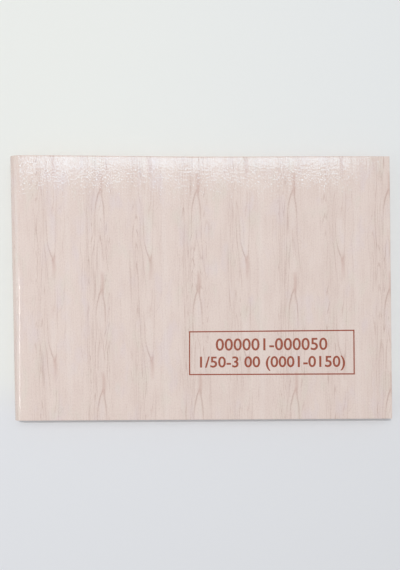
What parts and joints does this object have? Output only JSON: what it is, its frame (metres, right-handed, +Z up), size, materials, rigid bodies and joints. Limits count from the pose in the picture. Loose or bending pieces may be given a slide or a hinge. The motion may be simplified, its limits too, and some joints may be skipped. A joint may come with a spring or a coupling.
{
  "type": "receipt book",
  "caption": "Closed landscape receipt book: laminated card cover folded round a stapled and glued block of carbonless leaf sets, with turning leaves, a loose writing shield and opening covers.",
  "frame": {"origin": "middle of the underside, on the surface that the closed book lies on", "axes": "+X from the spine to the fore-edge, +Y towards the top of the page, +Z up out of the front cover"},
  "size_m": [0.2, 0.14, 0.0114],
  "materials": {
    "laminated_card": "gloss laminate",
    "binding_glue": "satin",
    "staple_wire": "galvanised",
    "white_paper": "matte",
    "yellow_paper": "matte",
    "pink_paper": "matte",
    "shield_board": "matte",
    "leaf_sets": "matte"
  },
  "bodies": {
    "block": {"cover_spine": "laminated_card", "spine_glue": "binding_glue", "staple_upper": "staple_wire", "staple_lower": "staple_wire", "original_stub": "white_paper", "first_copy_stub": "yellow_paper", "second_copy_stub": "pink_paper", "set_02": "leaf_sets", "set_03": "leaf_sets", "set_04": "leaf_sets", "set_05": "leaf_sets", "set_06": "leaf_sets", "set_07": "leaf_sets", "set_08": "leaf_sets", "set_09": "leaf_sets", "set_10": "leaf_sets", "set_11": "leaf_sets", "set_12": "leaf_sets", "set_13": "leaf_sets", "set_14": "leaf_sets", "set_15": "leaf_sets", "set_16": "leaf_sets", "set_17": "leaf_sets", "set_18": "leaf_sets", "set_19": "leaf_sets", "set_20": "leaf_sets", "set_21": "leaf_sets", "set_22": "leaf_sets", "set_23": "leaf_sets", "set_24": "leaf_sets", "set_25": "leaf_sets", "set_26": "leaf_sets", "set_27": "leaf_sets", "set_28": "leaf_sets", "set_29": "leaf_sets", "set_30": "leaf_sets", "set_31": "leaf_sets", "set_32": "leaf_sets", "set_33": "leaf_sets", "set_34": "leaf_sets", "set_35": "leaf_sets", "set_36": "leaf_sets", "set_37": "leaf_sets", "set_38": "leaf_sets", "set_39": "leaf_sets", "set_40": "leaf_sets", "set_41": "leaf_sets", "set_42": "leaf_sets", "set_43": "leaf_sets", "set_44": "leaf_sets", "set_45": "leaf_sets", "set_46": "leaf_sets", "set_47": "leaf_sets", "sets_48_to_50": "leaf_sets"},
    "front_cover": {"front_cover": "laminated_card"},
    "original_leaf": {"original_leaf": "white_paper"},
    "first_copy_leaf": {"first_copy_leaf": "yellow_paper"},
    "second_copy_leaf": {"second_copy_leaf": "pink_paper"},
    "writing_shield": {"writing_shield": "shield_board"},
    "back_cover": {"back_cover": "laminated_card"}
  },
  "joints": [
    {"name": "front_cover_open", "type": "hinge", "parent": "block", "child": "front_cover", "pos_m": [-0.096, 0, 0.01149], "axis": [0, -1, 0], "range_deg": [0, 178]},
    {"name": "original_leaf_turn", "type": "hinge", "parent": "block", "child": "original_leaf", "pos_m": [-0.088, 0, 0.01149], "axis": [0, -1, 0], "range_deg": [0, 178]},
    {"name": "first_copy_leaf_turn", "type": "hinge", "parent": "block", "child": "first_copy_leaf", "pos_m": [-0.088, 0, 0.01149], "axis": [0, -1, 0], "range_deg": [0, 178]},
    {"name": "second_copy_leaf_turn", "type": "hinge", "parent": "block", "child": "second_copy_leaf", "pos_m": [-0.088, 0, 0.01149], "axis": [0, -1, 0], "range_deg": [0, 178]},
    {"name": "writing_shield_slide", "type": "slide", "parent": "block", "child": "writing_shield", "axis": [1, 0, 0], "range_m": [0, 0.19]},
    {"name": "back_cover_open", "type": "hinge", "parent": "block", "child": "back_cover", "pos_m": [-0.096, 0, -0.00005], "axis": [0, 1, 0], "range_deg": [0, 178]}
  ],
  "couplings": [
    {"joint": "original_leaf_turn", "follows": "front_cover_open", "ratio": 0.94},
    {"joint": "first_copy_leaf_turn", "follows": "front_cover_open", "ratio": 0.88},
    {"joint": "second_copy_leaf_turn", "follows": "front_cover_open", "ratio": 0.82}
  ]
}
